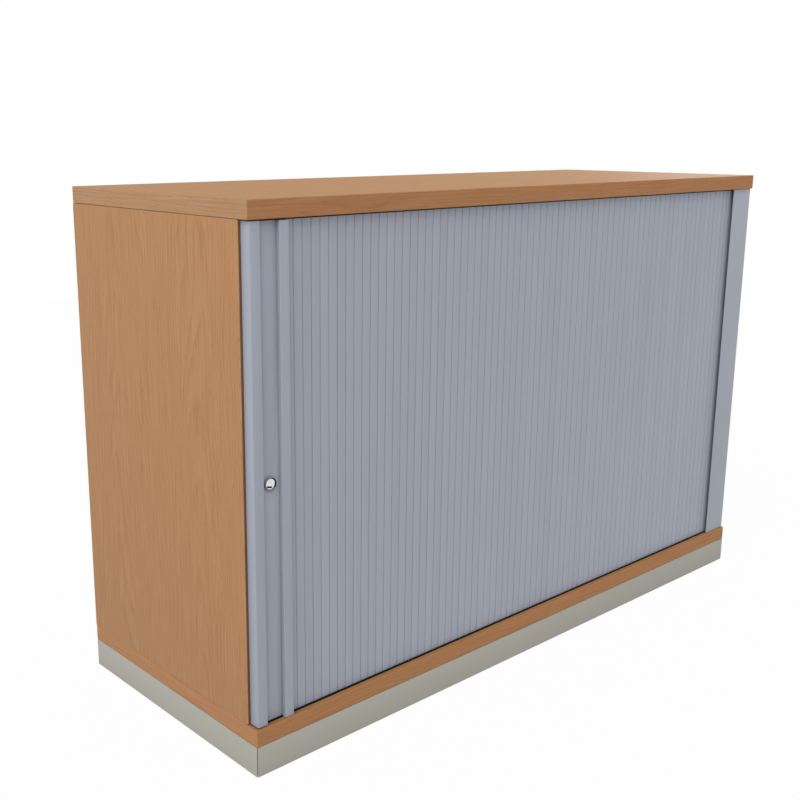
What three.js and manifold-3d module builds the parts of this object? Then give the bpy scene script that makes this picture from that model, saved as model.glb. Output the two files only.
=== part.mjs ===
// Tambour door cabinet: a low office cupboard whose door is a curtain of upright slats.
// Sizes are in millimetres. Inside the cabinet group x runs right from the left end,
// y runs back from the front of the slabs, and z runs up from the floor.

import * as THREE from 'three';
import { RoundedBoxGeometry } from 'three/addons/geometries/RoundedBoxGeometry.js';
import { mergeVertices } from 'three/addons/utils/BufferGeometryUtils.js';
import Module from 'manifold-3d';

const wasm = await Module();
wasm.setup();

// Carcass
const cabinetWidth = 1200;
const cabinetDepth = 440;
const plinthHeight = 45;
const openingHeight = 687;
const topThickness = 25;
const bottomThickness = 25;
const slabEdgeRadius = 1.5;
const sideThickness = 19;
const sideSetback = 21;
const plinthThickness = 18;
const mitreSetback = 0.6;
const backThickness = 8;
const backInset = 1;
const falseBackThickness = 4;
const innerSideThickness = 12;
const innerSideFront = 24;
const innerSidePocket = 44;

// Gaps between pieces
const seatGap = 0.3;
const pinClearance = 0.3;
const leftPostEndGap = 1.6;

// Shelf and shelf pins
const shelfThickness = 22;
const shelfFront = 48;
const shelfBackGap = 3;
const shelfSideGap = 2.2;
const pinRadius = 2.5;
const pinLength = 8;
const pinCollarRadius = 4;
const pinCollarLength = 1.5;
const pinHoleDepth = 9;
const pinHolePitch = 32;
const pinHolesPerRow = 5;
const pinRowFromEdge = 60;

// Slats of the curtain
const slatPitch = 15;
const slatThickness = 6;
const slatsPerSection = 3;
const curtainFront = 11;
const grooveWidth = 1.2;
const grooveDepth = 1.5;
const sectionGap = 0.3;
const slatTopPlay = 1.2;

// Guide rails
const channelClearance = 1;
const railWall = 1.5;
const railFloor = 1.3;
const railDepth = 6.5;
const railLip = 2.2;
const cornerRadius = 22;
const railStart = 16;
const padFrontInset = 1.2;
const padSideInset = 0.4;
const cornerFromRight = 59;
const runOutFromRight = 6;
const spareRun = 20;

// Posts
const postFront = 3;
const postWall = 2;
const postChamfer = 0.8;
const postBackLeg = 12;
const leftPostInset = 5;
const leftPostWidth = 16.4;
const rightPostInset = 2.5;
const rightPostWidth = 58.5;

// Lead bar
const leadPlateFront = 9.5;
const leadPlateThickness = 2.5;
const leadPlateTuck = 8;
const lockPlateWidth = 30;
const ridgeWidth = 15.4;
const ridgeFront = 2.5;
const ridgeWall = 2;
const ridgeChamfer = 0.5;
const spineThickness = 4;
const spineInset = 6;
const ridgeEndGap = 0.5;
const firstSlatTuck = 1.8;
const slatFaceGap = 0.3;

// Lock
const lockFromPost = 14.1;
const lockHeight = 413;
const lockFlangeRadius = 9.4;
const lockFlangeThickness = 3;
const lockFlangeChamfer = 0.4;
const lockRecessRadius = 8.7;
const lockRecessFloor = 0.4;
const lockBodyRadius = 8.1;
const lockBodyLength = 20.5;
const lockHoleRadius = 8.4;
const lockCoreRadius = 6.4;
const coreHeadRadius = 7.3;
const coreHeadSetback = 1.2;
const coreStubRadius = 4;
const coreStubLength = 2.8;
const keySlotLength = 8.4;
const keySlotWidth = 2.4;
const keySlotDepth = 4;
const keySlotAside = 1.8;
const keySlotDrop = 3.8;
const keySlotTilt = 13;
const lockNutFlats = 22;
const lockNutThickness = 4;
const camThickness = 2;
const camHubRadius = 7.5;
const camArmWidth = 4;
const camArmOffset = 0.6;
const camReach = 14;
const camToothThickness = 1.8;
const camToothLength = 3;
const camScrewHeadRadius = 5.5;
const camScrewHeadHeight = 2;
const camScrewDrive = 1;

// Keeper for the cam
const keeperWall = 1.2;
const keeperDepth = 9;
const keeperTabGap = 1.2;
const keeperTabDrop = 0.6;
const keeperPocketDepth = 9;
const keeperBaseHeight = 24;

// Levelling feet
const footFromEnd = 60;
const footPadRadius = 18;
const footPadHeight = 5;
const footNeckHeight = 4;
const footNeckRadius = 7;
const footStemRadius = 4;
const footStemTop = 56;
const footTravel = 10;
const footHoleSpare = 2;

// Facets of round shapes
const roundSides = 24;
const holeSides = 12;
const cornerSteps = 8;
const edgeSteps = 2;

// Heights and depths that follow from the sizes above
const bottomTop = plinthHeight + bottomThickness;
const topUnderside = bottomTop + openingHeight;
const cabinetHeight = topUnderside + topThickness;
const boardBottom = bottomTop + seatGap;
const boardTop = topUnderside - seatGap;
const slatBottom = bottomTop - railDepth + railFloor + seatGap;
const slatTop = topUnderside + railDepth - railFloor - slatTopPlay;

const leftInnerFace = sideThickness;
const rightInnerFace = cabinetWidth - sideThickness;
const innerSideLeft = rightInnerFace - innerSidePocket;
const innerSideRight = innerSideLeft + innerSideThickness;
const backFront = cabinetDepth - backInset - backThickness;

const channelHalf = slatThickness / 2 + channelClearance;
const railHalf = channelHalf + railWall;
const frontTrack = curtainFront + slatThickness / 2;
const backTrack = backFront - channelClearance - railWall - railHalf;
const lipFront = frontTrack - railHalf;
const lipBack = frontTrack - channelHalf;
const lipTopBelow = bottomTop + railLip;
const lipBottomAbove = topUnderside - railLip;
const cornerX = cabinetWidth - cornerFromRight;
const falseBackBack = backTrack - railHalf - seatGap;
const falseBackFront = falseBackBack - falseBackThickness;

const postBack = sideSetback - seatGap;
const leftPostRight = leftPostInset + leftPostWidth;
const rightPostRight = cabinetWidth - rightPostInset;
const rightPostLeft = rightPostRight - rightPostWidth;
const ridgeLeft = leftPostRight + lockPlateWidth;
const ridgeRight = ridgeLeft + ridgeWidth;
const curtainStart = ridgeRight - firstSlatTuck;
const leadPlateBack = leadPlateFront + leadPlateThickness;
const leadPlateLeft = leftPostRight - leadPlateTuck;
const spineRight = curtainStart - sectionGap;
const leadPlateRight = Math.min(spineRight, ridgeRight - ridgeWall - seatGap);
const sectionWidth = slatsPerSection * slatPitch;
const sectionCount = Math.ceil((cornerX - curtainStart) / sectionWidth);

const lockX = leftPostRight + lockFromPost;
const lockFlangeBack = leadPlateFront - seatGap;
const lockFlangeFront = lockFlangeBack - lockFlangeThickness;
const lockRecessBack = lockFlangeBack - lockRecessFloor;
const lockBodyBack = leadPlateFront + lockBodyLength;
const camFront = lockBodyBack + seatGap;
const camBack = camFront + camThickness;

const shelfBottom = bottomTop + (openingHeight - shelfThickness) / 2;
const shelfBack = falseBackFront - shelfBackGap;
const pinHeight = shelfBottom - seatGap - pinRadius;
const pinRows = [shelfFront + pinRowFromEdge, shelfBack - pinRowFromEdge];
const footX = [footFromEnd, cabinetWidth - footFromEnd];
const footY = [footFromEnd, cabinetDepth - footFromEnd];

// Surfaces
const woodGrain = { color: '#b28a68', roughness: 0.55, metalness: 0 };
const greyPlastic = { color: '#969da8', roughness: 0.5, metalness: 0 };
const plinthGrey = { color: '#a2a296', roughness: 0.6, metalness: 0 };
const blackPlastic = { color: '#17181a', roughness: 0.5, metalness: 0 };
const whiteBoard = { color: '#d9d9d4', roughness: 0.6, metalness: 0 };
const chrome = { color: '#d4d6d8', roughness: 0.15, metalness: 1 };
const zincSteel = { color: '#a9abad', roughness: 0.4, metalness: 1 };

const cabinet = new THREE.Group();
cabinet.position.set(-cabinetWidth / 2, -cabinetDepth / 2, 0);

// Helpers

function addPiece(name, geometry, surface) {
  const mesh = new THREE.Mesh(geometry, new THREE.MeshStandardMaterial(surface));
  mesh.name = name;
  cabinet.add(mesh);
  return mesh;
}

function boxBetween([x0, x1], [y0, y1], [z0, z1]) {
  const box = new THREE.BoxGeometry(x1 - x0, y1 - y0, z1 - z0);
  return box.translate((x0 + x1) / 2, (y0 + y1) / 2, (z0 + z1) / 2);
}

function roundedBoard([x0, x1], [y0, y1], [z0, z1], radius) {
  const board = new RoundedBoxGeometry(x1 - x0, y1 - y0, z1 - z0, edgeSteps, radius);
  return board.translate((x0 + x1) / 2, (y0 + y1) / 2, (z0 + z1) / 2);
}

// A plan outline stood up between two heights.
function uprightPrism(shape, bottom, top) {
  const options = { depth: top - bottom, bevelEnabled: false, curveSegments: cornerSteps };
  return new THREE.ExtrudeGeometry(shape, options).translate(0, 0, bottom);
}

// A front-view outline, x across and z up, given its thickness from front to back.
function frontPrism(shape, front, back) {
  const options = { depth: back - front, bevelEnabled: false, curveSegments: cornerSteps };
  const prism = new THREE.ExtrudeGeometry(shape, options);
  return prism.rotateX(Math.PI / 2).translate(0, back, 0);
}

function outline(points) {
  return new THREE.Shape(points.map(([x, y]) => new THREE.Vector2(x, y)));
}

// A turned shape whose axis runs from front to back; the profile is [radius, y].
function turned(profile, sides = roundSides) {
  return new THREE.LatheGeometry(profile.map(([r, y]) => new THREE.Vector2(r, y)), sides);
}

function rodAlongY(radius, front, back, sides = roundSides) {
  return new THREE.CylinderGeometry(radius, radius, back - front, sides)
    .translate(0, (front + back) / 2, 0);
}

function rodAlongX(radius, left, right, sides = holeSides) {
  return new THREE.CylinderGeometry(radius, radius, right - left, sides)
    .rotateZ(Math.PI / 2)
    .translate((left + right) / 2, 0, 0);
}

function rodAlongZ(radius, bottom, top, sides = holeSides) {
  return new THREE.CylinderGeometry(radius, radius, top - bottom, sides)
    .rotateX(Math.PI / 2)
    .translate(0, 0, (bottom + top) / 2);
}

function toSolid(geometry) {
  const bare = geometry.clone();
  bare.deleteAttribute('normal');
  bare.deleteAttribute('uv');
  const merged = mergeVertices(bare);
  return new wasm.Manifold(new wasm.Mesh({
    numProp: 3,
    vertProperties: Float32Array.from(merged.attributes.position.array),
    triVerts: Uint32Array.from(merged.index.array),
  }));
}

function toGeometry(solid) {
  const mesh = solid.getMesh();
  const geometry = new THREE.BufferGeometry();
  geometry.setAttribute('position', new THREE.BufferAttribute(mesh.vertProperties, 3));
  geometry.setIndex(new THREE.BufferAttribute(mesh.triVerts, 1));
  geometry.computeVertexNormals();
  return geometry;
}

function cut(geometry, tools) {
  const solid = tools.reduce((rest, tool) => rest.subtract(toSolid(tool)), toSolid(geometry));
  return toGeometry(solid);
}

function join(geometries) {
  const [first, ...others] = geometries.map(toSolid);
  return toGeometry(others.reduce((sum, other) => sum.add(other), first));
}

// Track of the curtain: along the front, round the corner, along the right side,
// round the rear corner and along the back, as a band of a given half width.

function backRunEnd() {
  const quarterTurn = (Math.PI / 2) * cornerRadius;
  const sideRun = backTrack - frontTrack - 2 * cornerRadius;
  const curtainLength = sectionCount * sectionWidth;
  return cornerX - (curtainLength - 2 * quarterTurn - sideRun) - spareRun;
}

function trackBand(half, endCut) {
  const start = railStart + endCut;
  const end = backRunEnd() + endCut;
  const frontCentre = frontTrack + cornerRadius;
  const backCentre = backTrack - cornerRadius;
  const outer = cornerRadius + half;
  const inner = cornerRadius - half;
  const shape = new THREE.Shape();
  shape.moveTo(start, frontTrack - half);
  shape.lineTo(cornerX, frontTrack - half);
  shape.absarc(cornerX, frontCentre, outer, -Math.PI / 2, 0, false);
  shape.lineTo(cornerX + outer, backCentre);
  shape.absarc(cornerX, backCentre, outer, 0, Math.PI / 2, false);
  shape.lineTo(end, backTrack + half);
  shape.lineTo(end, backTrack - half);
  shape.lineTo(cornerX, backTrack - half);
  shape.absarc(cornerX, backCentre, inner, Math.PI / 2, 0, true);
  shape.lineTo(cornerX + inner, frontCentre);
  shape.absarc(cornerX, frontCentre, inner, 0, -Math.PI / 2, true);
  shape.lineTo(start, frontTrack + half);
  return shape;
}

// The front channel also runs straight on behind the right post, where the slats are threaded in.
function trackSolid(half, endCut, bottom, top) {
  const band = uprightPrism(trackBand(half, endCut), bottom, top);
  const runOut = boxBetween(
    [cornerX - cornerRadius, cabinetWidth - runOutFromRight - endCut],
    [frontTrack - half, frontTrack + half],
    [bottom, top],
  );
  return join([band, runOut]);
}

// Each rail lies in its groove. Only its front wall stands out of the slab,
// as a lip that hides the ends of the slats. At the left the lip ends in a thin pad
// between the slab and the left post, so the post stands on the rails.
function guideRail(mouth, direction) {
  const deep = mouth + direction * railDepth;
  const floor = deep - direction * railFloor;
  const overshoot = mouth - direction * railDepth;
  const lipEdge = mouth - direction * railLip;
  const body = trackSolid(railHalf, 0, Math.min(mouth, deep), Math.max(mouth, deep));
  const lip = boxBetween(
    [railStart, cornerX],
    [lipFront, lipBack],
    [Math.min(lipEdge, deep), Math.max(lipEdge, deep)],
  );
  const padNear = mouth - direction * seatGap;
  const padFar = mouth - direction * (leftPostEndGap - seatGap);
  const pad = boxBetween(
    [leftPostInset + padSideInset, railStart + railWall],
    [postFront + padFrontInset, postBack - padSideInset],
    [Math.min(padNear, padFar), Math.max(padNear, padFar)],
  );
  const channel = trackSolid(
    channelHalf, railWall, Math.min(floor, overshoot), Math.max(floor, overshoot),
  );
  return join([cut(body, [channel]), lip, pad]);
}

function railGroove(mouth, direction) {
  const deep = mouth + direction * (railDepth + seatGap);
  const overshoot = mouth - direction * railDepth;
  return trackSolid(
    railHalf + seatGap, -seatGap, Math.min(deep, overshoot), Math.max(deep, overshoot),
  );
}

// Carcass boards

function addSlabs() {
  const across = [0, cabinetWidth];
  const deep = [0, cabinetDepth];
  const top = roundedBoard(across, deep, [topUnderside, cabinetHeight], slabEdgeRadius);
  addPiece('top_panel', cut(top, [railGroove(topUnderside, 1)]), woodGrain);

  const holeTop = footStemTop + footTravel + footHoleSpare;
  const footHoles = footX.flatMap((x) => footY.map((y) => (
    rodAlongZ(footStemRadius + pinClearance, plinthHeight - footPadHeight, holeTop)
      .translate(x, y, 0)
  )));
  const bottom = roundedBoard(across, deep, [plinthHeight, bottomTop], slabEdgeRadius);
  addPiece('bottom_panel', cut(bottom, [railGroove(bottomTop, -1), ...footHoles]), woodGrain);
}

// Blind holes for the shelf pins in two upright rows, bored from a face at x.
function pinHoles(faceX, direction) {
  const mouth = faceX - direction * pinHoleDepth;
  const end = faceX + direction * pinHoleDepth;
  const middle = (pinHolesPerRow - 1) / 2;
  const steps = Array.from({ length: pinHolesPerRow }, (_, i) => (i - middle) * pinHolePitch);
  return pinRows.flatMap((y) => steps.map((step) => (
    rodAlongX(pinRadius + pinClearance, Math.min(mouth, end), Math.max(mouth, end))
      .translate(0, y, pinHeight + step)
  )));
}

function addUprightBoards() {
  const sideDeep = [sideSetback, cabinetDepth];
  const tall = [boardBottom, boardTop];
  const left = boxBetween([0, sideThickness], sideDeep, tall);
  addPiece('left_side_panel', cut(left, pinHoles(leftInnerFace, -1)), woodGrain);
  addPiece('right_side_panel', boxBetween([rightInnerFace, cabinetWidth], sideDeep, tall), woodGrain);

  const innerSide = boxBetween(
    [innerSideLeft, innerSideRight], [innerSideFront, falseBackFront - seatGap], tall,
  );
  addPiece('inner_side_panel', cut(innerSide, pinHoles(innerSideLeft, 1)), woodGrain);

  const backAcross = [leftInnerFace + seatGap, rightInnerFace - seatGap];
  addPiece('back_panel', boxBetween(backAcross, [backFront, backFront + backThickness], tall), woodGrain);
  const falseAcross = [leftInnerFace + seatGap, innerSideRight];
  const falseDeep = [falseBackFront, falseBackBack];
  addPiece('false_back_panel', boxBetween(falseAcross, falseDeep, tall), whiteBoard);
}

// Each plinth board is mitred at both ends, so its plan is a trapezium.
function addPlinth() {
  const height = plinthHeight - seatGap;
  const t = plinthThickness;
  const g = mitreSetback;
  const w = cabinetWidth;
  const d = cabinetDepth;
  const boards = {
    plinth_front: [[g, 0], [w - g, 0], [w - t - g, t], [t + g, t]],
    plinth_back: [[t + g, d - t], [w - t - g, d - t], [w - g, d], [g, d]],
    plinth_left: [[0, g], [t, t + g], [t, d - t - g], [0, d - g]],
    plinth_right: [[w, g], [w, d - g], [w - t, d - t - g], [w - t, t + g]],
  };
  for (const [name, plan] of Object.entries(boards)) {
    addPiece(name, uprightPrism(outline(plan), 0, height), plinthGrey);
  }
}

function addShelf() {
  const across = [leftInnerFace + shelfSideGap, innerSideLeft - shelfSideGap];
  const board = boxBetween(across, [shelfFront, shelfBack], [shelfBottom, shelfBottom + shelfThickness]);
  addPiece('shelf', board, woodGrain);

  // The pin's profile starts at the end in the board and ends at the free end.
  const profile = [
    [0, -pinLength],
    [pinRadius, -pinLength],
    [pinRadius, seatGap],
    [pinCollarRadius, seatGap],
    [pinCollarRadius, seatGap + pinCollarLength],
    [pinRadius, seatGap + pinCollarLength],
    [pinRadius, pinLength],
    [0, pinLength],
  ];
  const faces = [[leftInnerFace, -1], [innerSideLeft, 1]];
  let number = 1;
  for (const [faceX, direction] of faces) {
    for (const y of pinRows) {
      const pin = addPiece(`shelf_pin_${number}`, turned(profile, holeSides), zincSteel);
      pin.rotation.z = (direction * Math.PI) / 2;
      pin.position.set(faceX, y, pinHeight);
      number += 1;
    }
  }
}

// Guide rails and posts

function addRails() {
  addPiece('top_guide_rail', guideRail(topUnderside, 1), blackPlastic);
  addPiece('bottom_guide_rail', guideRail(bottomTop, -1), blackPlastic);
}

// Each post is an angle profile: a front wall, a side wall, and a short leg behind
// that is fixed to the front edge of the side panel.
function addPosts() {
  const frontBack = postFront + postWall;
  const leftPlan = [
    [leftPostInset, postFront + postChamfer],
    [leftPostInset + postChamfer, postFront],
    [leftPostRight, postFront],
    [leftPostRight, frontBack],
    [leftPostInset + postWall, frontBack],
    [leftPostInset + postWall, postBack - postWall],
    [leftPostInset + postBackLeg, postBack - postWall],
    [leftPostInset + postBackLeg, postBack],
    [leftPostInset, postBack],
  ];
  const leftHeights = [bottomTop + leftPostEndGap, topUnderside - leftPostEndGap];
  addPiece('left_post', uprightPrism(outline(leftPlan), ...leftHeights), greyPlastic);

  const rightPlan = [
    [rightPostLeft, postFront],
    [rightPostRight - postChamfer, postFront],
    [rightPostRight, postFront + postChamfer],
    [rightPostRight, postBack],
    [rightPostRight - postBackLeg, postBack],
    [rightPostRight - postBackLeg, postBack - postWall],
    [rightPostRight - postWall, postBack - postWall],
    [rightPostRight - postWall, frontBack],
    [rightPostLeft, frontBack],
  ];
  addPiece('right_post', uprightPrism(outline(rightPlan), boardBottom, boardTop), greyPlastic);
}

// Door: lead bar and curtain

// The lead bar is a flat plate with a spine behind it. The grip ridge is a channel seated on the plate.
function addLeadBar() {
  const plateHeights = [lipTopBelow + seatGap, lipBottomAbove - seatGap];
  const plate = boxBetween([leadPlateLeft, leadPlateRight], [leadPlateFront, leadPlateBack], plateHeights);
  // The spine is longer than the plate, so its ends run in the guide rails.
  const spine = boxBetween(
    [leadPlateLeft + spineInset, spineRight],
    [leadPlateBack - leadPlateThickness / 2, leadPlateBack + spineThickness],
    [slatBottom, slatTop],
  );
  const lockHole = rodAlongY(lockHoleRadius, 0, lockBodyBack).translate(lockX, 0, lockHeight);
  addPiece('lead_bar', cut(join([plate, spine]), [lockHole]), greyPlastic);

  const ridgeInnerFront = ridgeFront + ridgeWall;
  const ridgeSeat = leadPlateFront - seatGap;
  const ridgePlan = [
    [ridgeLeft, ridgeFront + ridgeChamfer],
    [ridgeLeft + ridgeChamfer, ridgeFront],
    [ridgeRight - ridgeChamfer, ridgeFront],
    [ridgeRight, ridgeFront + ridgeChamfer],
    [ridgeRight, curtainFront - slatFaceGap],
    [ridgeRight - ridgeWall, curtainFront - slatFaceGap],
    [ridgeRight - ridgeWall, ridgeInnerFront],
    [ridgeLeft + ridgeWall, ridgeInnerFront],
    [ridgeLeft + ridgeWall, ridgeSeat],
    [ridgeLeft, ridgeSeat],
  ];
  const ridge = uprightPrism(outline(ridgePlan), bottomTop + ridgeEndGap, plateHeights[1]);
  // The ridge ends level with the plate at the top. Its foot is notched, so it passes over the rail's lip.
  const notch = boxBetween(
    [ridgeLeft - ridgeWall, ridgeRight + ridgeWall],
    [lipFront - seatGap, curtainFront],
    [bottomTop, plateHeights[0]],
  );
  addPiece('grip_ridge', cut(ridge, [notch]), greyPlastic);
}

// Three slats hooked together, seen from above. A groove parts each slat from the next,
// front and back, and the thin web between the grooves is the hinge.
function sectionPlan(left) {
  const front = curtainFront;
  const back = curtainFront + slatThickness;
  const half = grooveWidth / 2;
  const floorHalf = grooveWidth / 4;
  const right = left + sectionWidth;
  const ends = [left + sectionGap / 2, right - sectionGap / 2];
  const frontEdge = [[ends[0], front + grooveDepth], [left + half, front]];
  const backEdge = [[ends[0], back - grooveDepth], [left + half, back]];
  for (let slat = 1; slat < slatsPerSection; slat += 1) {
    const joint = left + slat * slatPitch;
    frontEdge.push([joint - half, front], [joint - floorHalf, front + grooveDepth]);
    frontEdge.push([joint + floorHalf, front + grooveDepth], [joint + half, front]);
    backEdge.push([joint - half, back], [joint - floorHalf, back - grooveDepth]);
    backEdge.push([joint + floorHalf, back - grooveDepth], [joint + half, back]);
  }
  frontEdge.push([right - half, front], [ends[1], front + grooveDepth]);
  backEdge.push([right - half, back], [ends[1], back - grooveDepth]);
  return outline([...frontEdge, ...backEdge.reverse()]);
}

function addCurtain() {
  for (let section = 0; section < sectionCount; section += 1) {
    const left = curtainStart + section * sectionWidth;
    const name = `curtain_section_${String(section + 1).padStart(2, '0')}`;
    addPiece(name, uprightPrism(sectionPlan(left), slatBottom, slatTop), greyPlastic);
  }
}

// Lock

function placeAtLock(mesh) {
  mesh.position.set(lockX, 0, lockHeight);
}

// The flange is a shallow cup with a thin lip. The core's head lies inside it, behind the lip.
function addLockHousing() {
  const bore = lockCoreRadius + pinClearance;
  const profile = [
    [bore, lockRecessBack],
    [lockRecessRadius, lockRecessBack],
    [lockRecessRadius, lockFlangeFront],
    [lockFlangeRadius - lockFlangeChamfer, lockFlangeFront],
    [lockFlangeRadius, lockFlangeFront + lockFlangeChamfer],
    [lockFlangeRadius, lockFlangeBack],
    [lockBodyRadius, lockFlangeBack],
    [lockBodyRadius, lockBodyBack],
    [bore, lockBodyBack],
    [bore, lockRecessBack],
  ];
  placeAtLock(addPiece('lock_housing', turned(profile), chrome));

  const nutRadius = lockNutFlats / Math.sqrt(3);
  const nutFront = leadPlateBack + spineThickness + seatGap;
  const nutBack = nutFront + lockNutThickness;
  const hexagon = rodAlongY(nutRadius, nutFront, nutBack, 6);
  const hole = rodAlongY(lockHoleRadius, 0, nutBack + lockNutThickness);
  placeAtLock(addPiece('lock_nut', cut(hexagon, [hole]), zincSteel));
}

function addLockCore() {
  const front = lockFlangeFront + coreHeadSetback;
  const headBack = lockRecessBack - seatGap;
  const profile = [
    [0, front],
    [coreHeadRadius, front],
    [coreHeadRadius, headBack],
    [lockCoreRadius, headBack],
    [lockCoreRadius, lockBodyBack],
    [coreStubRadius, lockBodyBack],
    [coreStubRadius, lockBodyBack + coreStubLength],
    [0, lockBodyBack + coreStubLength],
  ];
  const slot = boxBetween(
    [-keySlotLength / 2, keySlotLength / 2],
    [front - keySlotDepth, front + keySlotDepth],
    [-keySlotWidth / 2, keySlotWidth / 2],
  ).rotateY(THREE.MathUtils.degToRad(keySlotTilt)).translate(-keySlotAside, 0, -keySlotDrop);
  placeAtLock(addPiece('lock_core', cut(turned(profile), [slot]), chrome));
}

// The cam stands upright when the door is free to slide. Its tooth points left,
// and a quarter turn brings the tooth down behind the keeper's tab.
function addLockCam() {
  const hub = rodAlongY(camHubRadius, camFront, camBack);
  const arm = boxBetween([camArmOffset, camArmOffset + camArmWidth], [camFront, camBack], [0, camReach]);
  const tooth = boxBetween(
    [-camToothLength, camArmOffset + camArmWidth / 2],
    [camFront, camBack],
    [camReach - camToothThickness, camReach],
  );
  const stubHole = rodAlongY(coreStubRadius + pinClearance, 0, camBack + camThickness);
  placeAtLock(addPiece('lock_cam', cut(join([hub, arm, tooth]), [stubHole]), zincSteel));

  const headFront = Math.max(camBack, lockBodyBack + coreStubLength) + seatGap;
  const headBack = headFront + camScrewHeadHeight;
  const head = [
    [0, headFront],
    [camScrewHeadRadius, headFront],
    [camScrewHeadRadius, headBack - camScrewHeadHeight / 2],
    [camScrewHeadRadius / 2, headBack],
    [0, headBack],
  ];
  const drive = boxBetween(
    [-camScrewHeadRadius, camScrewHeadRadius],
    [headBack - camScrewDrive, headBack + camScrewDrive],
    [-camScrewDrive / 2, camScrewDrive / 2],
  );
  placeAtLock(addPiece('cam_screw', cut(turned(head), [drive]), zincSteel));
}

// A bent strip on the left panel: the base lies on the panel, the floor carries the tab.
function addKeeper() {
  const left = leftInnerFace + seatGap;
  const baseRight = left + keeperWall;
  const toothRight = lockX - camReach + camToothThickness;
  const tabLeft = toothRight + keeperTabGap;
  const tabRight = tabLeft + keeperWall;
  const tabTop = lockHeight + camArmOffset - keeperTabDrop;
  const floorTop = tabTop - keeperPocketDepth;
  const floorBottom = floorTop - keeperWall;
  const profile = outline([
    [left, floorBottom],
    [tabRight, floorBottom],
    [tabRight, tabTop],
    [tabLeft, tabTop],
    [tabLeft, floorTop],
    [baseRight, floorTop],
    [baseRight, floorBottom + keeperBaseHeight],
    [left, floorBottom + keeperBaseHeight],
  ]);
  const middle = (camFront + camBack) / 2;
  const front = middle - keeperDepth / 2;
  addPiece('lock_keeper', frontPrism(profile, front, front + keeperDepth), zincSteel);
}

// Levelling feet

function addFeet() {
  const neckTop = footPadHeight + footNeckHeight;
  const profile = [
    [0, 0],
    [footPadRadius, 0],
    [footPadRadius, footPadHeight],
    [footNeckRadius, neckTop],
    [footStemRadius, neckTop],
    [footStemRadius, footStemTop],
    [0, footStemTop],
  ];
  let number = 1;
  for (const y of footY) {
    for (const x of footX) {
      const foot = addPiece(`levelling_foot_${number}`, turned(profile, holeSides), blackPlastic);
      foot.rotation.x = Math.PI / 2;
      foot.position.set(x, y, 0);
      number += 1;
    }
  }
}

addSlabs();
addUprightBoards();
addPlinth();
addShelf();
addRails();
addPosts();
addLeadBar();
addCurtain();
addLockHousing();
addLockCore();
addLockCam();
addKeeper();
addFeet();

export default cabinet;
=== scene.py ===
# %% [markdown]
# # A tambour door cabinet
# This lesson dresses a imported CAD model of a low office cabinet. Two wood-look slabs lie above and below
# upright boards, and the whole front is a curtain of narrow grey slats that slides to the right.
# The CAD model gives every piece its size and place, so nothing is fitted by eye here.

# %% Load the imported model
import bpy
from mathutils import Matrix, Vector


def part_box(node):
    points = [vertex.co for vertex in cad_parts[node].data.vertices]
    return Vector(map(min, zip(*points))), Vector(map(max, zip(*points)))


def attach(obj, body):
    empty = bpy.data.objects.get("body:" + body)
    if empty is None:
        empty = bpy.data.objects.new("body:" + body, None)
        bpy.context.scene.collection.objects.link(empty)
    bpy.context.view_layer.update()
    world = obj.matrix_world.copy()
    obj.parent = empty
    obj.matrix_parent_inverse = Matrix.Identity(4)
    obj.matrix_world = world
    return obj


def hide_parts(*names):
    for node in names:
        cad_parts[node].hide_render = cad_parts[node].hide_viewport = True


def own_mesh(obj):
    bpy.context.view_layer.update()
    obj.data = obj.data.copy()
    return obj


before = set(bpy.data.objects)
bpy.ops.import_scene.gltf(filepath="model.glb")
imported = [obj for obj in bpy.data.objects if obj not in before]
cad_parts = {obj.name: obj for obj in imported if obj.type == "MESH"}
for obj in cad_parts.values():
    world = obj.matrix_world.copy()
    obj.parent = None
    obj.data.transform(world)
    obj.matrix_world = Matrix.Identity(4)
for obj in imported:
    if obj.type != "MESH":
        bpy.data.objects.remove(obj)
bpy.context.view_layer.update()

# %% Tools
import math

import bmesh
import bpy
from mathutils import Matrix, Vector

MM = 0.001
WHITE = (1, 1, 1, 1)
scene = bpy.context.scene
print("one scene unit is", round(1 / MM), "mm")

# %% [markdown]
# ## Camera
# The photograph was taken from the front left, a little above the top slab, with a longish lens.
# The camera's place and its two directions were solved from the corners of the cabinet, so they are
# written as numbers. The small shift moves the picture sideways, as cropping a photograph does.

# %% Place the camera
camera_place = Vector((-1.38593, -1.29166, 0.85955))
camera_right = Vector((0.75130364, -0.6599562, 0.00081241)).normalized()
camera_up = Vector((0.15274059, 0.17507941, 0.97263431)).normalized()

camera_data = bpy.data.cameras.new("camera")
camera_data.sensor_width = 36
camera_data.lens = 48.85
camera_data.shift_x = 0.0706
camera_data.shift_y = -0.0094
camera = bpy.data.objects.new("camera", camera_data)
scene.collection.objects.link(camera)
turn = Matrix((camera_right, camera_up, camera_right.cross(camera_up))).transposed().to_4x4()
camera.matrix_world = Matrix.Translation(camera_place) @ turn
scene.camera = camera
scene.view_settings.view_transform = "Standard"
print("camera looks along", tuple(round(c, 3) for c in -camera_right.cross(camera_up)))

# %% [markdown]
# ## Node and colour helpers
# Every finish below is a small tree of shader nodes. One function adds a node, sets its options and
# joins or fills its sockets, and one turns a colour from a paint chart, written in sRGB, into the linear
# numbers that the renderer works with. The Mix node keeps one set of sockets for each kind of data:
# a colour goes in at 6 and 7 and comes out at 2.

# %% Add a node, fill its sockets
def plug(tree, node, sockets):
    for socket, value in sockets.items():
        if isinstance(value, bpy.types.NodeSocket):
            tree.links.new(value, node.inputs[socket])
        else:
            node.inputs[socket].default_value = value


def add(tree, kind, sockets=None, **settings):
    node = tree.nodes.new(kind)
    for name, value in settings.items():
        setattr(node, name, value)
    plug(tree, node, sockets or {})
    return node


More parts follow.
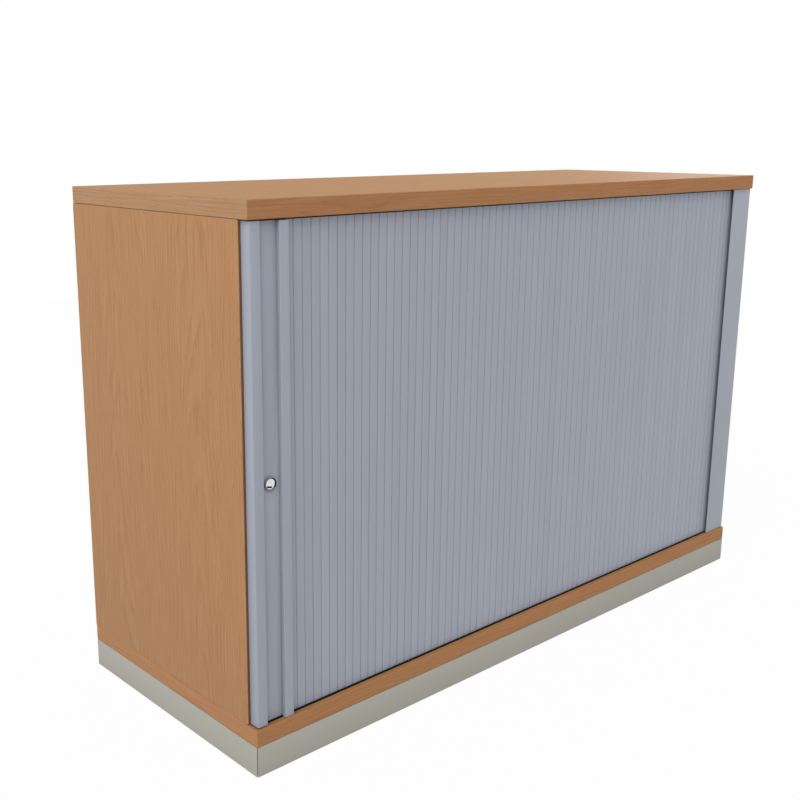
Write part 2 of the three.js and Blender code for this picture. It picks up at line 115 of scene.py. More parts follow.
def linear(hex_colour):
    parts = [int(hex_colour[i:i + 2], 16) / 255 for i in (1, 3, 5)]
    return [c / 12.92 if c <= 0.04045 else ((c + 0.055) / 1.055) ** 2.4 for c in parts] + [1.0]


print("mid grey #808080 is", round(linear("#808080")[0], 3), "in linear light")


# %% Nodes that come up again and again
def compute(tree, operation, *values):
    return add(tree, "ShaderNodeMath", dict(enumerate(values)), operation=operation).outputs[0]


def remap(tree, value, from_range, to_range):
    sockets = dict(enumerate((value, *from_range, *to_range)))
    return add(tree, "ShaderNodeMapRange", sockets).outputs[0]


def mix_colours(tree, share, one, other, **settings):
    sockets = {0: share, 6: one, 7: other}
    return add(tree, "ShaderNodeMix", sockets, data_type="RGBA", **settings).outputs[2]


def bump(tree, height, strength, depth_mm):
    sockets = {"Strength": strength, "Distance": depth_mm * MM, "Height": height}
    return add(tree, "ShaderNodeBump", sockets).outputs[0]


def noise(tree, place, detail, scale=1.0):
    sockets = {"Vector": place, "Scale": scale, "Detail": detail}
    return add(tree, "ShaderNodeTexNoise", sockets).outputs[0]


def in_cells(tree, place, cell_mm):
    """Measures a place in cells of a real size, so that a pattern with a scale of 1 fits them."""
    scale = [1 / (side * MM) for side in cell_mm]
    return add(tree, "ShaderNodeVectorMath", {0: place, 1: scale}, operation="MULTIPLY").outputs[0]


def new_material(name):
    material = bpy.data.materials.new(name)
    material.use_nodes = True
    tree = material.node_tree
    tree.nodes.clear()
    surface = add(tree, "ShaderNodeBsdfPrincipled")
    add(tree, "ShaderNodeOutputMaterial", {"Surface": surface.outputs["BSDF"]})
    return material, tree, surface


def coat(material, *names):
    for name in names:
        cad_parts[name].material_slots[0].material = material
    print(material.name, "on", ", ".join(names))


# %% [markdown]
# ## Studio
# The photograph has a plain white surround and very soft light, a quarter stronger on the left side than
# on the front. A white world gives the soft part, and one broad lamp, high up on the left, gives the rest.
# The camera and mirror-like surfaces see the world as pure white, while the light it sheds is weaker.
# A window or a photo of a studio could light the scene too, but two plain lights are easier to balance.

# %% World and lamp
def seen_as_white(tree):
    rays = add(tree, "ShaderNodeLightPath").outputs
    mirrored = compute(tree, "MAXIMUM", rays["Is Camera Ray"], rays["Is Glossy Ray"])
    return compute(tree, "MAXIMUM", mirrored, rays["Is Transmission Ray"])


WORLD_LIGHT = 0.68
LAMP_LIGHT = 1.66
LAMP_FROM = Vector((-0.64, -0.28, 0.71)).normalized()
LAMP_SPREAD_DEGREES = 50

world = bpy.data.worlds.new("studio")
world.use_nodes = True
tree = world.node_tree
tree.nodes.clear()
seen = seen_as_white(tree)
lighting = add(tree, "ShaderNodeBackground", {"Color": WHITE, "Strength": WORLD_LIGHT})
backdrop = add(tree, "ShaderNodeBackground", {"Color": WHITE, "Strength": 1.0})
both = add(tree, "ShaderNodeMixShader", {0: seen, 1: lighting.outputs[0], 2: backdrop.outputs[0]})
add(tree, "ShaderNodeOutputWorld", {"Surface": both.outputs[0]})
scene.world = world

lamp_data = bpy.data.lights.new("soft lamp", "SUN")
lamp_data.energy = LAMP_LIGHT
lamp_data.angle = math.radians(LAMP_SPREAD_DEGREES)
lamp = bpy.data.objects.new("soft lamp", lamp_data)
lamp.rotation_mode = "QUATERNION"
lamp.rotation_quaternion = LAMP_FROM.to_track_quat("Z", "Y")
scene.collection.objects.link(lamp)
print("lamp comes from", tuple(round(c, 2) for c in LAMP_FROM))

# %% [markdown]
# The top slab grows paler towards its far end, as a satin foil does where it mirrors something white. So a
# white screen stands to the right of the cabinet. It is hidden from the camera, and it adds no diffuse
# light, so it shows only as that sheen.

# %% Side screen
SCREEN_PLACE = Vector((2.6, 0.60, 0.95))
SCREEN_SIZE = (1.5, 1.8)
SCREEN_POWER = 42
SCREEN_FACING = Vector((1, 0, 0)).to_track_quat("Z", "Y").to_matrix().to_4x4()

screen_data = bpy.data.lights.new("side screen", "AREA")
screen_data.shape = "RECTANGLE"
screen_data.size, screen_data.size_y = SCREEN_SIZE
screen_data.energy = SCREEN_POWER
screen = bpy.data.objects.new("side screen", screen_data)
screen.matrix_world = Matrix.Translation(SCREEN_PLACE) @ SCREEN_FACING
screen.visible_camera = False
screen.visible_diffuse = False
scene.collection.objects.link(screen)
print("side screen is", SCREEN_SIZE[0], "by", SCREEN_SIZE[1], "m")

# %% [markdown]
# The floor is a white sheet. What the camera sees of it is mostly a steady white glow, so it melts into the
# background, and a little plain paint in the mix keeps the cabinet's faint shadow. To other surfaces it
# sheds a weaker light, the bounce that fills the lower half of the cabinet.

# %% Floor
FLOOR_HALF = 4.0
FLOOR_PAINT = (0.62, 0.62, 0.62, 1)
FLOOR_GLOW = 0.97
BOUNCE_GLOW = 0.6
BOUNCE_LIGHT = 0.74

floor_material = bpy.data.materials.new("white studio floor")
floor_material.use_nodes = True
tree = floor_material.node_tree
tree.nodes.clear()
seen = seen_as_white(tree)
share = remap(tree, seen, (0.0, 1.0), (BOUNCE_GLOW, FLOOR_GLOW))
strength = remap(tree, seen, (0.0, 1.0), (BOUNCE_LIGHT, 1.0))
paint = add(tree, "ShaderNodeBsdfDiffuse", {"Color": FLOOR_PAINT})
glow = add(tree, "ShaderNodeEmission", {"Color": WHITE, "Strength": strength})
both = add(tree, "ShaderNodeMixShader", {0: share, 1: paint.outputs[0], 2: glow.outputs[0]})
add(tree, "ShaderNodeOutputMaterial", {"Surface": both.outputs[0]})

bm = bmesh.new()
bmesh.ops.create_grid(bm, x_segments=1, y_segments=1, size=FLOOR_HALF)
floor_mesh = bpy.data.meshes.new("studio_floor")
bm.to_mesh(floor_mesh)
bm.free()
floor_mesh.materials.append(floor_material)
floor = bpy.data.objects.new("studio_floor", floor_mesh)
scene.collection.objects.link(floor)
print("floor is", 2 * FLOOR_HALF, "m wide")

# %% [markdown]
# ## Beech-look melamine
# The boards are chipboard under a printed melamine foil. The print copies beech that was sawn flat: nested
# arches of growth rings, fine streaks along the grain, and short dark flecks. The arches come from a cone:
# the distance to a slanted core, cut into rings 5.5 mm apart, draws the same arches on a flat board that
# a real log does. Every cell below gives the size of one patch of a pattern in millimetres, across the
# grain, along it and into the board.

# %% Beech print
FIGURE_HALF = 110 * MM
CORE_DEPTH = 30 * MM
TAPER = 0.045
RING_SPACING = 5.5 * MM
WANDER_CELL = (70, 420, 200)
WANDER = 80 * MM
STREAK_CELL = (2.2, 110, 40)
RING_RAGGEDNESS = 4 * MM
LATE_WOOD_POWER = 3.0
TONE_CELL = (30, 380, 200)
FLECK_CELL = (5, 26, 20)
FLECK_EDGE = (0.10, 0.22)
FLECK_SHARE = 0.30
TONE_SHARE = 0.3
STREAK_SHARE = 1.5
RING_SHARE = 0.42
PRINT_LIGHTEN = -0.40
BEECH_LIGHT = linear("#b98d66")
BEECH_DARK = linear("#a47850")
BEECH_FLECK = linear("#8e6244")


def growth_rings(tree, place, streak):
    """Returns 0 to 1 across each ring, darkening late in the year as real rings do."""
    wander = noise(tree, in_cells(tree, place, WANDER_CELL), 1.0)
    parts = add(tree, "ShaderNodeSeparateXYZ", {0: place})
    bend = compute(tree, "MULTIPLY_ADD", wander, WANDER, parts.outputs[0])
    across = compute(tree, "PINGPONG", bend, FIGURE_HALF)
    square = compute(tree, "MULTIPLY_ADD", across, across, CORE_DEPTH ** 2)
    radius = compute(tree, "SQRT", square)
    cone = compute(tree, "MULTIPLY_ADD", parts.outputs[1], TAPER, radius)
    ragged = compute(tree, "MULTIPLY_ADD", streak, RING_RAGGEDNESS, cone)
    year = compute(tree, "MULTIPLY", ragged, 1 / RING_SPACING)
    return compute(tree, "POWER", compute(tree, "FRACT", year), LATE_WOOD_POWER)


def beech_print(tree, place):
    """place holds metres across the grain, along it, and into the board. Returns colour and height."""
    streak = noise(tree, in_cells(tree, place, STREAK_CELL), 3.0)
    tone = noise(tree, in_cells(tree, place, TONE_CELL), 2.0)
    late = growth_rings(tree, place, streak)
    cells = add(tree, "ShaderNodeTexVoronoi", {"Vector": in_cells(tree, place, FLECK_CELL), "Scale": 1.0})
    fleck = remap(tree, cells.outputs["Distance"], FLECK_EDGE, (1.0, 0.0))
    depth = compute(tree, "MULTIPLY_ADD", tone, TONE_SHARE, PRINT_LIGHTEN)
    depth = compute(tree, "MULTIPLY_ADD", streak, STREAK_SHARE, depth)
    depth = compute(tree, "MULTIPLY_ADD", late, RING_SHARE, depth)
    wood = mix_colours(tree, depth, BEECH_LIGHT, BEECH_DARK)
    faint = compute(tree, "MULTIPLY", fleck, FLECK_SHARE)
    return mix_colours(tree, faint, wood, BEECH_FLECK), compute(tree, "SUBTRACT", streak, faint)


print("growth rings are", round(RING_SPACING / MM, 1), "mm apart")


# %% [markdown]
# The foil itself is satin and almost smooth: a faint embossing follows the printed streaks.
# The side, inner and back boards stand up with the grain upright. Their faces look left, right or back,
# so adding x and y gives the distance across the grain on each of them.

# %% Upright boards
EMBOSS_STRENGTH = 0.25
EMBOSS_DEPTH_MM = 0.08
FOIL_ROUGHNESS = 0.7
FOIL_IOR = 1.5
FOIL_SPECULAR = 0.15


def finish_foil(tree, surface, colour, height):
    plug(tree, surface, {
        "Base Color": colour,
        "Normal": bump(tree, height, EMBOSS_STRENGTH, EMBOSS_DEPTH_MM),
        "Roughness": FOIL_ROUGHNESS,
        "IOR": FOIL_IOR,
        "Specular IOR Level": FOIL_SPECULAR,
    })


upright_beech, tree, surface = new_material("beech-look melamine, grain upright")
coordinates = add(tree, "ShaderNodeTexCoord")
split = add(tree, "ShaderNodeSeparateXYZ", {0: coordinates.outputs["Object"]})
aside = compute(tree, "ADD", split.outputs[0], split.outputs[1])
place = add(tree, "ShaderNodeCombineXYZ", {0: aside, 1: split.outputs[2], 2: 0.0})
finish_foil(tree, surface, *beech_print(tree, place.outputs[0]))
coat(upright_beech, "inner_side_panel", "back_panel")

# %% [markdown]
# The slabs and the shelf lie flat, with the grain along their length. Their narrow edges are covered by
# strips of plastic edging, printed in the same pattern along the strip. Print on plastic never matches
# print on paper quite: the long strips are a deeper brown. The ends carry painted light, the upper slab's
# and the shelf's paler and bluer and the lower slab's darker and warmer, and the upper slab's top has a
# painted warm tint against the cool sheen it mirrors. The lower slab's top, seen as the ledge in front of
# the curtain, is tinted a deeper brown. The direction that a face looks in picks the pattern's direction
# and the tint.

# %% Flat boards
# The edging tint is the strips' own colour. The end tints and the upper top tint are painted light.
EDGING_TINT = (0.94, 0.84, 0.77, 1.0)
UPPER_TOP_PAINTED_LIGHT = (0.98, 0.96, 0.84, 1.0)
LOWER_TOP_TINT = (0.88, 0.78, 0.66, 1.0)
UPPER_END_PAINTED_LIGHT = (1.03, 1.11, 1.27, 1.0)
LOWER_END_PAINTED_LIGHT = (0.96, 0.92, 0.90, 1.0)
NO_TINT = (1.0, 1.0, 1.0, 1.0)
LEANING = 0.7


def flat_foil(name, top_tint, end_painted_light):
    material, tree, surface = new_material(name)
    coordinates = add(tree, "ShaderNodeTexCoord")
    split = add(tree, "ShaderNodeSeparateXYZ", {0: coordinates.outputs["Object"]})
    facing = add(tree, "ShaderNodeSeparateXYZ", {0: coordinates.outputs["Normal"]})
    across, along, deep = split.outputs[2], split.outputs[0], split.outputs[1]

    def laid(side, length):
        return add(tree, "ShaderNodeCombineXYZ", {0: side, 1: length, 2: 0.0}).outputs[0]

    def pick(chosen, one, other):
        sockets = {0: chosen, 4: one, 5: other}
        return add(tree, "ShaderNodeMix", sockets, data_type="VECTOR").outputs[1]

    not_end, not_front, not_level = (
        compute(tree, "COMPARE", part, 0.0, LEANING) for part in facing.outputs
    )
    on_front_or_top = pick(not_front, laid(across, along), laid(deep, along))
    place = pick(not_end, laid(across, deep), on_front_or_top)
    colour, height = beech_print(tree, place)
    # Top, front and end faces each get their tint; those on the ends and on the upper top are painted
    # light.
    tint = mix_colours(tree, not_level, top_tint, NO_TINT)
    tint = mix_colours(tree, not_front, EDGING_TINT, tint)
    tint = mix_colours(tree, not_end, end_painted_light, tint)
    shade = mix_colours(tree, 1.0, colour, tint, blend_type="MULTIPLY")
    finish_foil(tree, surface, shade, height)
    return material


upper_beech = flat_foil("beech-look melamine, grain lengthwise", UPPER_TOP_PAINTED_LIGHT, UPPER_END_PAINTED_LIGHT)
lower_beech = flat_foil("beech-look melamine, lower slab, deeper brown top", LOWER_TOP_TINT, LOWER_END_PAINTED_LIGHT)
coat(upper_beech, "top_panel", "shelf")
coat(lower_beech, "bottom_panel")

# %% [markdown]
# ## Extruded grey plastic
# The slats, the lead bar and the posts are extruded plastic in silver grey. Extrusion leaves very fine
# lines along the length and a satin sheen, and no two slats of a batch match exactly, so each slat
# is a touch lighter or darker than the next.

# %% Grey plastic
SLAT_PITCH = 15.0
FIRST_SLAT = -535.0
SLAT_GREYS = ("#a3a8b5", "#9a9fac")
PROFILE_GREYS = ("#a0a6b1", "#979da8")
LINE_CELL = (0.9, 0.9, 300)
LINE_SHARE = 0.8
LINE_LIGHTEN = -0.05
LINE_STRENGTH = 0.2
LINE_DEPTH_MM = 0.03
CLOUD_CELL = (80, 80, 200)
CLOUD_SHARE = 0.3
BATCH_SHARE = 0.35
MIDDLE_OF_NOISE = (0.3, 0.7)
SATIN = (0.40, 0.50)
PLASTIC_IOR = 1.46


def slat_shade(tree, here):
    """Counts the slats from the left and gives each its own random number."""
    split = add(tree, "ShaderNodeSeparateXYZ", {0: here})
    slats_per_metre = 1 / (SLAT_PITCH * MM)
    count = compute(tree, "MULTIPLY_ADD", split.outputs[0], slats_per_metre, -FIRST_SLAT / SLAT_PITCH)
    number = compute(tree, "FLOOR", count)
    return add(tree, "ShaderNodeTexWhiteNoise", {"W": number}, noise_dimensions="1D").outputs["Value"]


def grey_plastic(name, greys, slats):
    material, tree, surface = new_material(name)
    here = add(tree, "ShaderNodeTexCoord").outputs["Object"]
    lines = noise(tree, in_cells(tree, here, LINE_CELL), 2.0)
    cloud = noise(tree, in_cells(tree, here, CLOUD_CELL), 1.0)
    depth = compute(tree, "MULTIPLY_ADD", lines, LINE_SHARE, LINE_LIGHTEN)
    depth = compute(tree, "MULTIPLY_ADD", cloud, CLOUD_SHARE, depth)
    if slats:
        depth = compute(tree, "MULTIPLY_ADD", slat_shade(tree, here), BATCH_SHARE, depth)
    plug(tree, surface, {
        "Base Color": mix_colours(tree, depth, linear(greys[0]), linear(greys[1])),
        "Roughness": remap(tree, cloud, MIDDLE_OF_NOISE, SATIN),
        "Normal": bump(tree, lines, LINE_STRENGTH, LINE_DEPTH_MM),
        "IOR": PLASTIC_IOR,
    })
    return material


slat_plastic = grey_plastic("extruded polypropylene, silver grey, slats", SLAT_GREYS, True)
profile_plastic = grey_plastic("extruded polypropylene, silver grey, profiles", PROFILE_GREYS, False)
print("plastics:", slat_plastic.name, "and", profile_plastic.name)

# %% [markdown]
# ## Plain finishes
# The plinth is covered in a matt grey-green laminate with a fine speckle. The false back is thin hardboard
# with white paint on its face. Rails and feet are moulded or extruded black plastic. The side boards' front
# edges get a deep brown painted shade, where the left post shades them. Each is one colour with a little
# cloud in it, so one function makes them all.

# %% Plain finishes
CLOUD_MM = 150
PLAIN_LIGHTEN = -0.5
PLAIN_STRENGTH = 0.3
PLAIN_IOR = 1.5


def plain_finish(name, greys, speck_mm, roughness, bump_mm, gloss=0.5):
    material, tree, surface = new_material(name)
    here = add(tree, "ShaderNodeTexCoord").outputs["Object"]
    small = noise(tree, here, 2.0, 1 / (speck_mm * MM))
    large = noise(tree, here, 1.0, 1 / (CLOUD_MM * MM))
    depth = compute(tree, "ADD", compute(tree, "ADD", small, large), PLAIN_LIGHTEN)
    plug(tree, surface, {
        "Base Color": mix_colours(tree, depth, linear(greys[0]), linear(greys[1])),
        "Normal": bump(tree, small, PLAIN_STRENGTH, bump_mm),
        "Roughness": roughness,
        "IOR": PLAIN_IOR,
        "Specular IOR Level": gloss,
    })
    return material


plinth_laminate = plain_finish("matt laminate, grey green", ("#a5a298", "#9f9c92"), 1.6, 0.6, 0.05)
white_hardboard = plain_finish("painted hardboard, white", ("#dcdcd6", "#d2d2cb"), 2.5, 0.55, 0.06)
black_plastic = plain_finish("moulded polypropylene, black", ("#0a0a0b", "#060607"), 0.8, 0.6, 0.02, 0.15)
front_edge_painted_shade = plain_finish("painted shade, side boards' front edges, deep brown", ("#75533f", "#694a38"), 1.2, 0.6, 0.02, 0.2)
coat(white_hardboard, "false_back_panel")
coat(black_plastic, "top_guide_rail", "bottom_guide_rail")
print("to be used below:", plinth_laminate.name, "and", front_edge_painted_shade.name)

# %% [markdown]
# ## Chrome and zinc
# The head of the lock's core is chrome plate on die-cast zinc: mirror bright, with slight unevenness. Its
# cup is bare matt zinc under a dull oxide, so it is made as a plain finish. The cam, its screw, the nut,
# the keeper and the shelf pins are steel with a bluish zinc coat, duller than chrome and slightly patchy.
# A metal keeps the default IOR, and its look comes from its colour and roughness.

# %% Metals
def metal_finish(name, greys, patch_mm, roughness):
    material, tree, surface = new_material(name)
    here = add(tree, "ShaderNodeTexCoord").outputs["Object"]
    patch = noise(tree, here, 3.0, 1 / (patch_mm * MM))
    plug(tree, surface, {
        "Base Color": mix_colours(tree, patch, linear(greys[0]), linear(greys[1])),
        "Roughness": remap(tree, patch, MIDDLE_OF_NOISE, roughness),
        "Metallic": 1.0,
    })
    return material


chrome = metal_finish("chrome plate", ("#e2e4e6", "#cfd2d5"), 1.5, (0.10, 0.20))
zinc = metal_finish("zinc-plated steel", ("#b9bcbe", "#9fa2a5"), 4.0, (0.32, 0.45))
matt_zinc = plain_finish("die-cast zinc, matt", ("#8b8f96", "#7f838a"), 1.0, 0.5, 0.02)
# Painted shade: a near-black finish for the deep gap round the lock's head and the inside of the key slot.
recess_painted_shade = plain_finish(
    "painted shade, lock recess and key slot", ("#1c1d1f", "#121314"), 1.0, 0.6, 0.02, 0.2,
)
coat(zinc, "lock_keeper", "lock_nut", "lock_cam", "cam_screw")
coat(zinc, "shelf_pin_1", "shelf_pin_2", "shelf_pin_3", "shelf_pin_4")
print("to be used below:", chrome.name, matt_zinc.name, recess_painted_shade.name)

# %% [markdown]
# ## Turning a finished bmesh into a piece
# Each new piece takes the place of one CAD node. The function below smooths its rounded parts, keeps its
# corners crisp, gives it its finish, and lets it ride on the CAD body that carries it.

# %% Piece helper
SMOOTH_BELOW_DEGREES = 40


def finish_piece(bm, name, node, body, slot, *materials):
    bmesh.ops.recalc_face_normals(bm, faces=bm.faces)
    mesh = bpy.data.meshes.new(name)
    bm.to_mesh(mesh)
    bm.free()
    for polygon in mesh.polygons:
        polygon.use_smooth = True
    mesh.set_sharp_from_angle(angle=math.radians(SMOOTH_BELOW_DEGREES))
    for material in materials:
        mesh.materials.append(material)
    piece = bpy.data.objects.new(name, mesh)
    scene.collection.objects.link(piece)
    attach(piece, body)
    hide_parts(node)
    return piece


print("faces that meet at less than", SMOOTH_BELOW_DEGREES, "degrees are shaded as one")


# %% [markdown]
# ## Curtain
# The curtain is a run of slats, hooked side by side, and every third joint parts two sections. A section
# starts as one flat box. Cutting it beside each joint and pushing the cut edges in makes the grooves, front
# and back. Each slat's face is faintly crowned, so it catches a soft highlight, and the groove's
# shoulders are rounded. When the door opens, a section slides right and gathers behind the right post.

# %% Box and cuts
CUT_TOLERANCE = 1e-7


def box_bmesh(low, high):
    bm = bmesh.new()
    bmesh.ops.create_cube(bm, size=1.0)
    bmesh.ops.scale(bm, vec=high - low, verts=bm.verts)
    bmesh.ops.translate(bm, vec=(low + high) / 2, verts=bm.verts)
    return bm


def cut_across(bm, x):
    everything = bm.verts[:] + bm.edges[:] + bm.faces[:]
    bmesh.ops.bisect_plane(
        bm, geom=everything, plane_co=(x, 0, 0), plane_no=(1, 0, 0), dist=CUT_TOLERANCE,
    )


def is_upright(edge):
    one, other = (vertex.co for vertex in edge.verts)
    return abs(one.x - other.x) < CUT_TOLERANCE and abs(one.y - other.y) < CUT_TOLERANCE


# %% Curtain section
SLATS = 3
SECTION_GAP = 0.3 * MM
GROOVE = 1.7 * MM
GROOVE_DEPTH = 1.25 * MM
CROWN = 0.2 * MM
CROWN_CUTS = (0.25, 0.5, 0.75)
SHOULDER = 0.35 * MM
CLOSE = 1e-6


def cut_slats(bm, joints, tail):
    """Cuts beside each joint and along each slat. Returns where the slats' faces rise, and how far."""
    for joint in joints[1:-1]:
        for offset in (-GROOVE / 4, GROOVE / 4):
            cut_across(bm, joint + offset)
    crowns = []
    for left, right in zip(joints, joints[1:]):
        cut_across(bm, left + GROOVE / 2)
        if right < joints[-1] or not tail:
            cut_across(bm, right - GROOVE / 2)
        for share in CROWN_CUTS:
            crowns.append((left * (1 - share) + right * share, 4 * share * (1 - share)))
            cut_across(bm, crowns[-1][0])
    return crowns


def make_section(node, tail=0.0):
    low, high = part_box(node)
    pitch = (high.x - low.x + SECTION_GAP) / SLATS
    start = low.x - SECTION_GAP / 2
    joints = [start + pitch * i for i in range(SLATS + 1)]
    grooves = joints[:-1] if tail else joints
    crown_end = joints[-1] - pitch / 8
    bm = box_bmesh(low, high + Vector((tail, 0, 0)))
    crowns = cut_slats(bm, joints, tail)
    for vertex in bm.verts:
        front = vertex.co.y < (low.y + high.y) / 2
        gap = min(abs(vertex.co.x - joint) for joint in grooves)
        if gap < GROOVE / 2 - CLOSE:
            vertex.co.y += GROOVE_DEPTH if front else -GROOVE_DEPTH
        elif front and vertex.co.x < crown_end:
            rise = [share for x, share in crowns if abs(vertex.co.x - x) < CLOSE]
            vertex.co.y += CROWN * (1 - (rise[0] if rise else 0.0))
    shoulders = []
    for edge in bm.edges:
        gap = min(abs(edge.verts[0].co.x - joint) for joint in grooves)
        at_groove = abs(gap - GROOVE / 2) < CLOSE
        if at_groove and is_upright(edge) and len(edge.link_faces) == 2:
            shoulders.append(edge)
    bmesh.ops.bevel(
        bm, geom=shoulders, offset=SHOULDER, segments=2, profile=0.5, affect="EDGES", material=-1,
    )
    return bm


print("grooves are", round(GROOVE / MM, 2), "mm wide and", round(GROOVE_DEPTH / MM, 2), "mm deep")


# %% [markdown]
# The last slat ends behind the right post. It is made a little wider than the others, so no gap shows
# between the curtain and the post when the cabinet is seen from the left. Each section gets a mesh of its
# own. The real curtain bends away round the corner as the door opens, which a rigid section can't.

# %% All sections
TAIL = 6.0 * MM
sections = [name for name in sorted(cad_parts) if name.startswith("curtain_section_")]
for node in sections:
    body = node.replace("section", "body")
    bm = make_section(node, TAIL if node == sections[-1] else 0.0)
    piece = finish_piece(bm, node.replace("section", "slats"), node, body, "grey_plastic", slat_plastic)
    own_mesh(piece)
print("curtain sections:", len(sections), "with", SLATS, "slats each")

# %% [markdown]
# ## Side boards, posts, lead bar, grip ridge and plinth
# These are straight extrusions or cut boards, and the CAD solids already have their outlines and notches.
# A copy of each solid is merged into clean faces, and its sharp edges are rounded a little, because no
# extruded or laminated edge is truly sharp and the thin highlight on it shows in the photograph.
# The side boards have a rounded front edge, and the flat middle of it gets a deep brown painted shade, the
# dark line beside the left post, where the post shades it.

# %% Rounded copies
MERGE_WITHIN = 0.01 * MM
FLAT_WITHIN_DEGREES = 1
SHARP_OVER_DEGREES = 30


def round_off(bm, edges, radius_mm, segments):
    bmesh.ops.bevel(
        bm, geom=edges, offset=radius_mm * MM, segments=segments, profile=0.5,
        affect="EDGES", material=-1, clamp_overlap=True,
    )


def sharp_edges(bm):
    sharp = math.radians(SHARP_OVER_DEGREES)
    return [edge for edge in bm.edges if len(edge.link_faces) == 2 and edge.calc_face_angle() > sharp]


def rounded_copy(node, radius_mm, front_mm=0.0):
    """A front_mm above 0 gives the edges round the front face a radius of their own."""
    bm = bmesh.new()
    bm.from_mesh(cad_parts[node].data)
    bmesh.ops.remove_doubles(bm, verts=bm.verts, dist=MERGE_WITHIN)
    flat = math.radians(FLAT_WITHIN_DEGREES)
    bmesh.ops.dissolve_limit(bm, angle_limit=flat, verts=bm.verts, edges=bm.edges)
    if front_mm:
        front = min(vertex.co.y for vertex in bm.verts) + CLOSE
        on_front = [e for e in sharp_edges(bm) if all(vertex.co.y < front for vertex in e.verts)]
        round_off(bm, on_front, front_mm, 4)
    round_off(bm, sharp_edges(bm), radius_mm, 2)
    return bm


# %% Boards, posts and profiles
BOARD_FRONT_RADIUS = 3.0
FACES_FRONT = -0.95

copies = [
    ("side_board_left", "left_side_panel", "carcass", "wood_board", upright_beech, 0.5),
    ("side_board_right", "right_side_panel", "carcass", "wood_board", upright_beech, 0.5),
    ("left_post_strip", "left_post", "carcass", "grey_plastic", profile_plastic, 0.5),
    ("right_post_strip", "right_post", "carcass", "grey_plastic", profile_plastic, 0.5),
    ("lead_plate", "lead_bar", "door_lead", "grey_plastic", profile_plastic, 0.25),
    ("grip_ridge_profile", "grip_ridge", "door_lead", "grey_plastic", profile_plastic, 0.2),
    ("plinth_board_front", "plinth_front", "carcass", "plinth_board", plinth_laminate, 0.3),
    ("plinth_board_back", "plinth_back", "carcass", "plinth_board", plinth_laminate, 0.3),
    ("plinth_board_left", "plinth_left", "carcass", "plinth_board", plinth_laminate, 0.3),
    ("plinth_board_right", "plinth_right", "carcass", "plinth_board", plinth_laminate, 0.3),
]
for name, node, body, slot, material, radius_mm in copies:
    edged = name.startswith("side_board")
    bm = rounded_copy(node, radius_mm, BOARD_FRONT_RADIUS if edged else 0.0)
    piece = finish_piece(bm, name, node, body, slot, material)
    if edged:
        piece.data.materials.append(front_edge_painted_shade)
        # Front-facing faces get the painted shade of the dark strip beside the left post.
        for polygon in piece.data.polygons:
            polygon.material_index = 1 if polygon.normal.y < FACES_FRONT else 0
    print(name, "has", len(piece.data.polygons), "faces")

# %% [markdown]
# ## Lock
# The lock sits in the lead bar: a thin-lipped cup of matt zinc with the chromed head of the core inside it.
# The gap round the head is deep, and on the right, away from the lamp, it reads as a dark crescent, so the
# recess faces there get a near-black painted shade. The cup is turned on a lathe, so its half section is
# spun once round the lock's axis. The head with its key slot is a rounded copy of the CAD solid, and the
# faces behind the head and inside the slot get the same painted shade.

# %% Lathe helper
LATHE_STEPS = 64


def spun(profile_mm, axis, steps=LATHE_STEPS):
    """profile_mm lists (radius, distance along the axis). A profile off the axis is closed into a ring."""
    across = axis.orthogonal().normalized()
    bm = bmesh.new()
    ring = [bm.verts.new(across * (r * MM) + axis * (h * MM)) for r, h in profile_mm]
    edges = [bm.edges.new(pair) for pair in zip(ring, ring[1:])]
    if profile_mm[0][0] > 0:
        edges.append(bm.edges.new((ring[-1], ring[0])))
    bmesh.ops.spin(
        bm, geom=ring + edges, cent=(0, 0, 0), axis=axis, angle=2 * math.pi,
        steps=steps, use_merge=True, use_duplicate=False,
    )
    bmesh.ops.remove_doubles(bm, verts=bm.verts, dist=CUT_TOLERANCE)
    return bm


# %% Lock cup
RECESS_RADIUS = 8.7
RECESS_DEPTH = 2.6
RECESS_ROUND = 0.1
CUP_RADIUS = 9.4
BARREL_RADIUS = 8.1
BORE_RADIUS = 6.7
FLANGE = 3.0
LIP_INSIDE = 0.15
LIP_OUTSIDE = 0.4
LIP_SHOULDER = 0.12
CRESCENT_RIGHT_OF = 1.5
CRESCENT_ABOVE = -5.5
CRESCENT_BEHIND = 0.1

cup_low, cup_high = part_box("lock_housing")
cup_length = (cup_high.y - cup_low.y) / MM
cup_profile = [
    (BORE_RADIUS, RECESS_DEPTH),
    (RECESS_RADIUS - RECESS_ROUND, RECESS_DEPTH),
    (RECESS_RADIUS, RECESS_DEPTH - RECESS_ROUND),
    (RECESS_RADIUS, LIP_INSIDE),
    (RECESS_RADIUS + LIP_INSIDE, 0.0),
    (CUP_RADIUS - LIP_OUTSIDE, 0.0),
    (CUP_RADIUS - LIP_SHOULDER, LIP_SHOULDER),
    (CUP_RADIUS, LIP_OUTSIDE),
    (CUP_RADIUS, FLANGE),
    (BARREL_RADIUS, FLANGE),
    (BARREL_RADIUS, cup_length),
    (BORE_RADIUS, cup_length),
]
lock_axis = Vector((0, 1, 0))
lock_lip = Vector(((cup_low.x + cup_high.x) / 2, cup_low.y, (cup_low.z + cup_high.z) / 2))
bm = spun(cup_profile, lock_axis)
# Recess faces right of and above the crescent's limits get painted shade; the rest is the cup's matt zinc.
for face in bm.faces:
    middle = face.calc_center_median() / MM
    in_recess = math.hypot(middle.x, middle.z) < RECESS_RADIUS and middle.y > CRESCENT_BEHIND
    in_crescent = middle.x > CRESCENT_RIGHT_OF and middle.z > CRESCENT_ABOVE
    face.material_index = 1 if in_recess and in_crescent else 0
bmesh.ops.translate(bm, vec=lock_lip, verts=bm.verts)
finish_piece(bm, "lock_cup", "lock_housing", "door_lead", "chrome", matt_zinc, recess_painted_shade)
print("lock cup lip at", tuple(round(c, 4) for c in lock_lip))

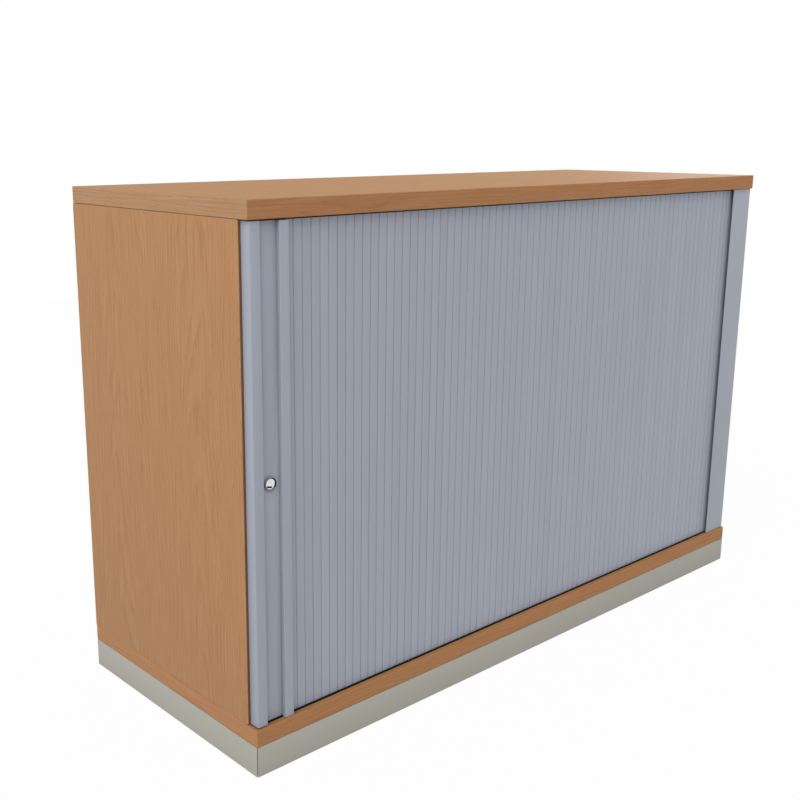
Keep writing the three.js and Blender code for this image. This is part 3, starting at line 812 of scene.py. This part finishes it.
# %% Lock core
HEAD_DEPTH = 1.15
EDGE_ROUND = 0.15
SLOT_INSIDE = 5.6

core_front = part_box("lock_core")[0].y
bm = rounded_copy("lock_core", EDGE_ROUND)
# Faces behind the head and inside the key slot get painted shade.
for face in bm.faces:
    middle = face.calc_center_median()
    radius = math.hypot(middle.x - lock_lip.x, middle.z - lock_lip.z)
    behind_head = middle.y > core_front + HEAD_DEPTH * MM
    in_slot = middle.y > core_front + 2 * EDGE_ROUND * MM and radius < SLOT_INSIDE * MM
    face.material_index = 1 if behind_head or in_slot else 0
core = finish_piece(bm, "lock_core_head", "lock_core", "lock_turn_body", "chrome", chrome, recess_painted_shade)
print("lock core faces:", len(core.data.polygons))

# %% [markdown]
# ## Levelling feet
# Each foot is a steel stud with a moulded pad pressed on its end. The pad stands on the floor inside the
# plinth's corner, and the stud screws up into the bottom slab. Its half section is a run of small steps, a
# thread seen from the side, so one spin gives the whole foot.

# %% Levelling foot
PAD_RADIUS = 18.0
PAD_HEIGHT = 5.0
PAD_ROUND = 1.0
NECK_RADIUS = 7.0
NECK_TOP = 9.0
NECK_ROUND = 0.5
STUD_RADIUS = 4.0
STUD_TIP = 1.0
THREAD_DEPTH = 0.5
THREAD_PITCH = 2.0
FOOT_STEPS = 40


def foot_profile(height):
    points = [
        (0.0, 0.0),
        (PAD_RADIUS - PAD_ROUND, 0.0),
        (PAD_RADIUS, PAD_ROUND),
        (PAD_RADIUS, PAD_HEIGHT - PAD_ROUND),
        (PAD_RADIUS - PAD_ROUND, PAD_HEIGHT),
        (NECK_RADIUS, NECK_TOP - NECK_ROUND),
        (NECK_RADIUS - NECK_ROUND, NECK_TOP),
    ]
    level = NECK_TOP
    while level + THREAD_PITCH < height - STUD_TIP:
        points += [(STUD_RADIUS - THREAD_DEPTH, level), (STUD_RADIUS, level + THREAD_PITCH / 2)]
        level += THREAD_PITCH
    return points + [(STUD_RADIUS - THREAD_DEPTH, level), (STUD_RADIUS - STUD_TIP, height), (0.0, height)]


for number in range(1, 5):
    node = f"levelling_foot_{number}"
    low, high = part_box(node)
    bm = spun(foot_profile((high.z - low.z) / MM), Vector((0, 0, 1)), FOOT_STEPS)
    for face in bm.faces:
        middle = face.calc_center_median() / MM
        near_stud = math.hypot(*middle.xy) < STUD_RADIUS + THREAD_DEPTH
        face.material_index = 1 if near_stud and middle.z > NECK_TOP else 0
    bmesh.ops.translate(bm, vec=((low.x + high.x) / 2, (low.y + high.y) / 2, low.z), verts=bm.verts)
    finish_piece(bm, f"foot_{number}", node, f"foot_body_{number}", "black_plastic", black_plastic, zinc)
print("feet: 4, each", round((high.z - low.z) / MM, 1), "mm tall")

# %% [markdown]
# ## Finish
# The looks must not change the object's size, and the last step brings the scene up to date.

# %% Finish
bpy.context.view_layer.update()
